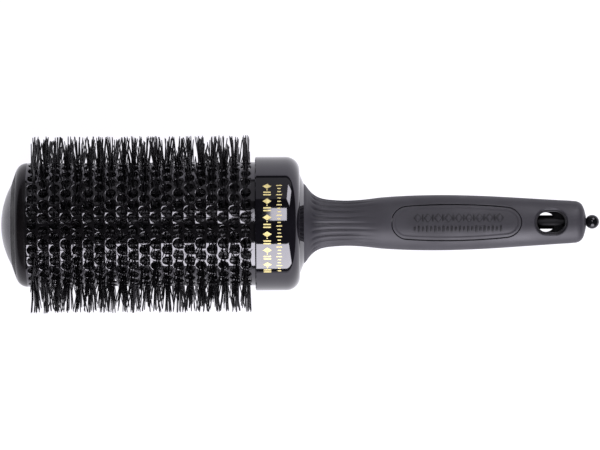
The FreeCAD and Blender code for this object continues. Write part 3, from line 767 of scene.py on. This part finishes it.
PANEL = {"start": 54.2, "stop": 111.3, "half_start": 6.7, "half_stop": 5.9}
PANEL_END_BOW, PANEL_SIDE_BOW, PANEL_CORNER = 50.0, 263.0, 5.8
PANEL_GAP = 0.3  # groove round the panel
PANEL_THICKNESS = 1.1
PANEL_DISH, PANEL_BORDER = 0.24, (1.1, 1.6)  # depth of the panel's field, and where it drops
GROOVE_LIP = 0.2  # edge radius on both sides of the groove
GROOVE_DEPTH = 1.0
RECESS = {"start": 118.0, "stop": 132.2, "half": 5.4}
RECESS_LIP = 0.8
WEB_HALF = 2.6  # half thickness of the core's web across the recess
TAIL_BORE = 1.55
NECK_BORE = 12.5  # the grip's flat end lies on the collar from here outwards


def panel_distance(x, y):
    """Signed distance from the panel's bowed and rounded outline, negative inside it."""
    y = abs(y)
    mid_x = (PANEL["start"] + PANEL["stop"]) / 2
    mid_y = (PANEL["half_start"] + PANEL["half_stop"]) / 2
    chord = Vector((PANEL["stop"] - PANEL["start"], PANEL["half_stop"] - PANEL["half_start"]))
    drop = math.sqrt(PANEL_SIDE_BOW**2 - chord.length_squared / 4)
    centre = Vector((mid_x, mid_y)) + Vector((chord.y, -chord.x)).normalized() * drop
    across = math.hypot(x - centre.x, y - centre.y) - (PANEL_SIDE_BOW - PANEL_CORNER)
    if x < mid_x:
        end = PANEL["start"] + math.sqrt(PANEL_END_BOW**2 - PANEL["half_start"] ** 2)
    else:
        end = PANEL["stop"] - math.sqrt(PANEL_END_BOW**2 - PANEL["half_stop"] ** 2)
    along = math.hypot(x - end, y) - (PANEL_END_BOW - PANEL_CORNER)
    return math.hypot(max(along, 0), max(across, 0)) + min(max(along, across), 0) - PANEL_CORNER


def recess_distance(x, y):
    """Signed distance from the recess's outline, negative inside it."""
    half = RECESS["half"]
    nearest = min(max(x, RECESS["start"] + half), RECESS["stop"] - half)
    return math.hypot(x - nearest, y) - half


def outward(distance, x, y, step=0.01):
    """Direction in XY in which a signed distance grows fastest."""
    along = distance(x + step, y) - distance(x - step, y)
    across = distance(x, y + step) - distance(x, y - step)
    return Vector((along, across)).normalized()


def snap(point, distance, level):
    """Moves a point of the grip's surface sideways, so that it lies on the outline's level."""
    x, y, z = point
    for _ in range(3):
        away = outward(distance, x, y)
        gap = level - distance(x, y)
        x, y = x + away.x * gap, y + away.y * gap
    return (x, y, math.copysign(surface_height(x, y), z))


def boundary_loops(faces):
    """Closed chains of edges that only one face uses, in that face's direction."""
    after = {}
    used = set()
    for face in faces:
        for i, a in enumerate(face):
            used.add((a, face[(i + 1) % len(face)]))
    for a, b in used:
        if (b, a) not in used:
            after[a] = b
    loops = []
    while after:
        start, here = after.popitem()
        loop = [start]
        while here != start:
            loop.append(here)
            here = after.pop(here)
        loops.append(loop)
    return loops


def add_walls(points, faces, loop, distance, rings):
    """Rings of new faces from a boundary loop; each ring gives (shift outwards, height rule)."""
    sign = math.copysign(1, points[loop[0]][2])
    base = [points[index] for index in loop]
    before = loop
    for shift, height in rings:
        ring = []
        for x, y, z in base:
            away = outward(distance, x, y)
            ring.append(len(points))
            points.append((x + away.x * shift, y + away.y * shift, sign * height(abs(z))))
        for i in range(len(loop)):
            j = (i + 1) % len(loop)
            faces.append((before[j], before[i], ring[i], ring[j]))
        before = ring
    return before


def lip(radius, direction, steps=5):
    """Rings that round an edge off, inwards (-1) or outwards (+1) from the outline."""
    rings = []
    for step in range(1, steps + 1):
        turn = math.pi / 2 * step / steps
        drop = radius * (1 - math.cos(turn))
        rings.append((direction * radius * math.sin(turn), lambda z, drop=drop: z - drop))
    return rings


def grid_places():
    """Stations of the grip's mesh along X."""
    places, here = [], GRIP_START
    for spacing, count in GRID_ZONES:
        places += [here + spacing * step for step in range(count)]
        here += spacing * count
    return places + [GRIP_STOP]


def grip_surface():
    """Points and faces of the grip's whole outer surface."""
    places = grid_places()
    points = []
    for x in places:
        for segment in range(GRIP_SEGMENTS):
            points.append(grip_point(x, 2 * math.pi * (segment + 0.5) / GRIP_SEGMENTS))
    faces = []
    for row in range(len(places) - 1):
        for segment in range(GRIP_SEGMENTS):
            after = (segment + 1) % GRIP_SEGMENTS
            low, high = row * GRIP_SEGMENTS, (row + 1) * GRIP_SEGMENTS
            faces.append((low + segment, high + segment, high + after, low + after))
    return points, faces


def middle(points, face):
    """The mean (x, y) of a face's corners."""
    return tuple(sum(points[index][axis] for index in face) / len(face) for axis in (0, 1))


def compact(points, faces):
    """Drops the points that no face uses."""
    used = sorted({index for face in faces for index in face})
    order = {old: new for new, old in enumerate(used)}
    return [points[old] for old in used], [tuple(order[index] for index in face) for face in faces]


def recess_wall(part):
    """Height rule of a ring on the recess's wall: part is 1 under the lip and 0 on the web."""
    return lambda z: WEB_HALF + (z - RECESS_LIP - WEB_HALF) * part


def soft_grip():
    """The fluted neck and the oval grip, open for the two panels and the two recesses."""
    points, faces = grip_surface()
    panel_edge = PANEL_GAP + GROOVE_LIP

    def kept(face):
        x, y = middle(points, face)
        return panel_distance(x, y) > panel_edge and recess_distance(x, y) > RECESS_LIP

    faces = [face for face in faces if kept(face)]
    groove = lip(GROOVE_LIP, -1) + [(-GROOVE_LIP, lambda z: z - GROOVE_DEPTH)]
    wall = lip(RECESS_LIP, -1, 8) + [(-RECESS_LIP, recess_wall(part)) for part in (0.6, 0.3, 0.0)]
    openings = []
    for loop in boundary_loops(faces):
        x, y = points[loop[0]][:2]
        for distance, level, rings in (
            (panel_distance, panel_edge, groove),
            (recess_distance, RECESS_LIP, wall),
        ):
            if abs(distance(x, y) - level) < 1.0:
                openings.append((loop, distance, rings))
                for index in loop:
                    points[index] = snap(points[index], distance, level)
    for loop, distance, rings in openings:
        add_walls(points, faces, loop, distance, rings)
    last_row = (len(grid_places()) - 1) * GRIP_SEGMENTS
    close_ends(points, faces, range(GRIP_SEGMENTS), range(last_row, last_row + GRIP_SEGMENTS))
    points, faces = compact(points, faces)
    grip = mesh_piece("grip_soft", points, faces, BRUSH, grip_soft, math.radians(48))
    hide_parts("grip_shell")


def close_ends(points, faces, first, last):
    """The flat face against the collar, and the tail's small hole round the needle."""

    def ring(x, radius):
        start = len(points)
        for segment in range(GRIP_SEGMENTS):
            angle = 2 * math.pi * (segment + 0.5) / GRIP_SEGMENTS
            points.append((x, radius * math.sin(angle), radius * math.cos(angle)))
        return range(start, start + GRIP_SEGMENTS)

    def join(a, b):
        for i in range(GRIP_SEGMENTS):
            j = (i + 1) % GRIP_SEGMENTS
            faces.append((a[i], b[i], b[j], a[j]))

    join(ring(GRIP_START, NECK_BORE), first)
    mouth = ring(GRIP_STOP, TAIL_BORE + 0.1)
    join(last, mouth)
    join(mouth, ring(GRIP_STOP - 0.8, TAIL_BORE))


def panel_sink(distance):
    """The panel's face is dished a little inside its border."""
    return PANEL_DISH * smoothstep(*PANEL_BORDER, -distance)


def inset_panel(side, node):
    """One inset panel, with rounded edges, a border round its dished field and a curved underside."""
    points, faces = grip_surface()
    edge = -GROOVE_LIP

    def kept(face):
        z = sum(points[index][2] for index in face)
        return z * side > 0 and panel_distance(*middle(points, face)) < edge

    faces = [face for face in faces if kept(face)]
    loop = max(boundary_loops(faces), key=len)
    for index in loop:
        points[index] = snap(points[index], panel_distance, edge)
    points, faces = compact(points, faces)
    loop = max(boundary_loops(faces), key=len)
    underside = [(x, y, z - side * PANEL_THICKNESS) for x, y, z in points]
    for index, (x, y, z) in enumerate(points):
        points[index] = (x, y, z - side * panel_sink(panel_distance(x, y)))
    top_faces = list(faces)
    rings = lip(GROOVE_LIP, 1) + [(GROOVE_LIP, lambda z: z - PANEL_THICKNESS)]
    foot = add_walls(points, faces, loop, panel_distance, rings)
    base = len(points)
    points += underside
    for i, a in enumerate(loop):
        j = (i + 1) % len(loop)
        faces.append((foot[j], foot[i], base + a, base + loop[j]))
    faces += [tuple(base + index for index in reversed(face)) for face in top_faces]
    panel = mesh_piece(node + "_face", points, faces, BRUSH, panel_soft, math.radians(48))
    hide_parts(node)


RIM_WIDTH, RIM_DROP, RIM_EDGE = 0.8, 1.1, 0.3
RIM_GAP = 0.02  # between the rim and the recess's wall
RIM_STEPS, RIM_EDGE_STEPS = 24, 4


def recess_rim(side, name):
    """A narrow ledge inside the recess, with a rounded inner edge, down to the core's web."""
    half = RECESS["half"]
    outline = []
    for end, sign in ((RECESS["stop"] - half, 1), (RECESS["start"] + half, -1)):
        for step in range(RIM_STEPS + 1):
            angle = math.pi * (step / RIM_STEPS - 0.5)
            outline.append((end + sign * half * math.cos(angle), sign * half * math.sin(angle)))
    points, faces = [], []
    for x, y in outline:
        away = outward(recess_distance, x, y)
        top = surface_height(x, y) - RIM_DROP
        section = [(RIM_GAP, top), (RIM_WIDTH - RIM_EDGE, top)]
        for step in range(1, RIM_EDGE_STEPS + 1):
            angle = math.pi / 2 * step / RIM_EDGE_STEPS
            inset = RIM_WIDTH - RIM_EDGE * (1 - math.sin(angle))
            section.append((inset, top - RIM_EDGE * (1 - math.cos(angle))))
        section += [(RIM_WIDTH, WEB_HALF), (RIM_GAP, WEB_HALF)]
        points += [(x - away.x * inset, y - away.y * inset, side * z) for inset, z in section]
    size = len(section)
    for i in range(len(outline)):
        j = (i + 1) % len(outline)
        for k in range(size):
            m = (k + 1) % size
            face = (i * size + k, j * size + k, j * size + m, i * size + m)
            faces.append(face if side > 0 else face[::-1])
    rim = mesh_piece(name, points, faces, BRUSH, rim_dark, math.radians(50))


MARK_SUNK = 0.25  # the marks' feet are sunk this deep into the panel


def emboss(points, faces, outline, x, y, side, height, bevel=0.16):
    """One raised mark on a panel, from its outline round (x, y)."""
    shoulder = (1 - bevel / 2, height - bevel * 0.3)
    levels = [(1.0, -MARK_SUNK), (1.0, height - bevel), shoulder, (1 - bevel * 1.2, height)]
    count = len(outline)
    base = len(points)
    for scale, rise in levels:
        for along, across in outline:
            px, py = x + along * scale, y + across * scale
            z = surface_height(px, py) - panel_sink(panel_distance(px, py)) + rise
            points.append((px, py, side * z))
    top = base + count * (len(levels) - 1)
    made = []
    for low in range(base, top, count):
        for i in range(count):
            j = (i + 1) % count
            made.append((low + i, low + j, low + count + j, low + count + i))
    made.append(tuple(range(base + count - 1, base - 1, -1)))
    made.append(tuple(range(top, top + count)))
    faces += made if side > 0 else [face[::-1] for face in made]


def ccw(outline):
    """The outline counter-clockwise, seen from above."""
    area = sum(a[0] * b[1] - b[0] * a[1] for a, b in zip(outline, outline[1:] + outline[:1]))
    return outline if area > 0 else outline[::-1]


def soft_lozenge(along, across, rounding=0.35, steps=4):
    corners = [(-along, 0, rounding), (0, across, rounding), (along, 0, rounding), (0, -across, rounding)]
    return ccw([tuple(point) for point in rounded(corners, steps)])


LOZENGES, LOZENGE_START, LOZENGE_PITCH, LOZENGE_ROW = 9, 65.2, 4.6, 2.1
BARS, BAR_START, BAR_PITCH, BAR_ROW = 22, 63.9, 1.84, -2.9


def panel_marks(side, name):
    """A generic raised frieze: lozenges on dark grounds with dark bars between, over a finer row of dark
    bars. The dark grounds are painted shade, a dark outline round each raised lozenge.
    """
    raised, dark = ([], []), ([], [])
    for index in range(LOZENGES):
        x = LOZENGE_START + index * LOZENGE_PITCH
        # Painted shade: a dark ground a little larger than the lozenge, as a dark outline round its raised
        # face.
        emboss(*dark, soft_lozenge(1.95, 2.2), x, LOZENGE_ROW, side, 0.1, 0.02)
        emboss(*raised, soft_lozenge(1.4, 1.65), x, LOZENGE_ROW, side, 0.45)
        if index < LOZENGES - 1:
            emboss(*dark, ccw(bar(0.4, 1.6)), x + LOZENGE_PITCH / 2, LOZENGE_ROW, side, 0.3)
    for index in range(BARS):
        stroke = ccw(bar(0.5, 1.5 if index % 2 else 1.15))
        emboss(*dark, stroke, BAR_START + index * BAR_PITCH, BAR_ROW, side, 0.3)
    for part, material, ending in ((raised, panel_soft, "_raised"), (dark, marks_and_painted_shade, "_dark")):
        marks = mesh_piece(name + ending, *part, BRUSH, material)


# ---- the pick ------------------------------------------------------------------------------------------

TUBE_R, TUBE_BORE = 3.1, 1.33
NEEDLE_R, HEAD_R, HEAD_LENGTH = 1.25, 1.7, 0.8  # the needle, and the upset head on its inner end
BALL_R, BALL_BORE = 3.15, 1.27
BALL_STEPS = 28


def guide_tube():
    """The glossy tube across the recess, which guides the pick."""
    start, stop = span("pick_tube")
    corners = [(start, TUBE_BORE, 0), (start, TUBE_R, 0.2), (stop, TUBE_R, 0.2), (stop, TUBE_BORE, 0)]
    outline = rounded(corners)
    tube = turned("pick_guide", outline, BRUSH, tube_black, 64)
    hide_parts("pick_tube")


def pick():
    """The needle with its upset head, and the ball pressed on its other end."""
    start, stop = span("pick_needle")
    head = start + HEAD_LENGTH
    shaft = [(head, NEEDLE_R, 0), (stop, NEEDLE_R, 0), (stop, 0, 0)]
    outline = rounded([(start, 0, 0), (start, HEAD_R, 0.2), (head, HEAD_R, 0.1)] + shaft)
    needle = turned("pick_shaft", outline, PICK, needle_black, 48, closed=False)
    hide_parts("pick_needle")
    centre = span("pick_ball")[1] - BALL_R
    mouth = math.sqrt(BALL_R**2 - BALL_BORE**2)
    begin = math.atan2(BALL_BORE, -mouth)
    outline = [(stop, 0), (stop, BALL_BORE), (centre - mouth, BALL_BORE)]
    for step in range(1, BALL_STEPS):
        angle = begin * (1 - step / BALL_STEPS)
        outline.append((centre + BALL_R * math.cos(angle), BALL_R * math.sin(angle)))
    outline.append((centre + BALL_R, 0))
    ball = turned("pick_tip", outline, PICK, ball_black, 64, closed=False)
    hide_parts("pick_ball")


def finish_cad_nodes():
    """CAD nodes that stay as they are get their procedural material."""
    kept = {
        "bristle_carrier": carrier_dark,
        "carrier_hub": carrier_dark,
        "tang_washer": zinc,
        "tang_screw": zinc,
        "handle_core": core_dark,
        "pick_stop": stop_pale,
        "pick_friction_ring": ring_black,
    }
    for node, material in kept.items():
        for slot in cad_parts[node].material_slots:
            slot.material = material


# ---- floor, lights and camera --------------------------------------------------------------------------

FLOOR_Z = cad_box[0][2] - 0.0002
FLOOR_HALF = 3.0
FLOOR_CELLS = 12


def studio():
    """The pale floor under the brush, and a faint even light from all round."""
    side = FLOOR_CELLS + 1
    marks = [-FLOOR_HALF + step * 2 * FLOOR_HALF / FLOOR_CELLS for step in range(side)]
    grid = [(x, y, FLOOR_Z) for y in marks for x in marks]
    faces = []
    for row in range(FLOOR_CELLS):
        for corner in range(row * side, row * side + FLOOR_CELLS):
            faces.append((corner, corner + 1, corner + side + 1, corner + side))
    mesh = bpy.data.meshes.new("floor")
    mesh.from_pydata(grid, [], faces)
    mesh.materials.append(floor_paper())
    floor = bpy.data.objects.new("floor", mesh)
    bpy.context.scene.collection.objects.link(floor)
    world = bpy.data.worlds.new("studio")
    world.use_nodes = True
    background = world.node_tree.nodes["Background"]
    background.inputs["Color"].default_value = (0.95, 0.95, 1.0, 1)
    background.inputs["Strength"].default_value = 0.045
    bpy.context.scene.world = world


def softbox(name, place, facing, width, height, radiance):
    """A rectangular light of even radiance, with its width level and its face towards facing."""
    light = bpy.data.lights.new(name, "AREA")
    light.shape = "RECTANGLE"
    light.size, light.size_y = width, height
    light.energy = radiance * math.pi * width * height
    lamp = bpy.data.objects.new(name, light)
    backwards = -Vector(facing).normalized()
    level = Vector((0, 0, 1)).cross(backwards).normalized()
    turn = Matrix((level, backwards.cross(level), backwards)).transposed().to_4x4()
    lamp.matrix_world = Matrix.Translation(place) @ turn
    lamp.visible_camera = False
    bpy.context.scene.collection.objects.link(lamp)


def lights():
    """The softboxes, each with its place, facing, width, height and radiance."""
    softbox("front_wall", (0.232, -0.8, 0.62), (0, 1, 0), 0.68, 1.04, 10.5)
    softbox("top_strip", (0.09, 0.31, 1.1), (0, -0.31, -1.1), 0.2, 0.43, 10.2)
    softbox("far_corner", (0.42, 0.74, 0.55), (-0.42, -0.74, -0.55), 0.42, 0.56, 8.2)
    softbox("back_fill", (0.1, 1.2, 0.7), (0, -1, 0), 1.6, 1.2, 0.4)
    softbox("top_glow", (-0.018, 0.31, 1.1), (0, -0.31, -1.1), 0.016, 0.43, 2.2)


CAMERA_OVER = (0.01245, -0.0007)  # the point of the brush that the camera looks down on
CAMERA_HEIGHT = 2.2
FRAME_WIDTH = 0.270  # width of the picture in the plane of the brush's axis
ROLL = math.radians(-0.33)  # the handle's small tilt in the photo


def camera():
    """Straight above the brush, like the photo's."""
    data = bpy.data.cameras.new("camera")
    data.sensor_width = 36.0
    data.lens = data.sensor_width * CAMERA_HEIGHT / FRAME_WIDTH
    data.clip_end = 20
    eye = bpy.data.objects.new("camera", data)
    eye.location = (*CAMERA_OVER, CAMERA_HEIGHT)
    eye.rotation_euler = (0, 0, ROLL)
    bpy.context.scene.collection.objects.link(eye)
    bpy.context.scene.camera = eye
    bpy.context.scene.view_settings.view_transform = "Standard"


camera()
studio()
lights()
perforated_sleeve()
bristle_strips()
end_cap()
dome_cover()
hub_collar()
collar_foil()
soft_grip()
inset_panel(1, "grip_panel_front")
inset_panel(-1, "grip_panel_back")
recess_rim(1, "recess_rim_front")
recess_rim(-1, "recess_rim_back")
panel_marks(1, "panel_marks_front")
panel_marks(-1, "panel_marks_back")
guide_tube()
pick()
finish_cad_nodes()
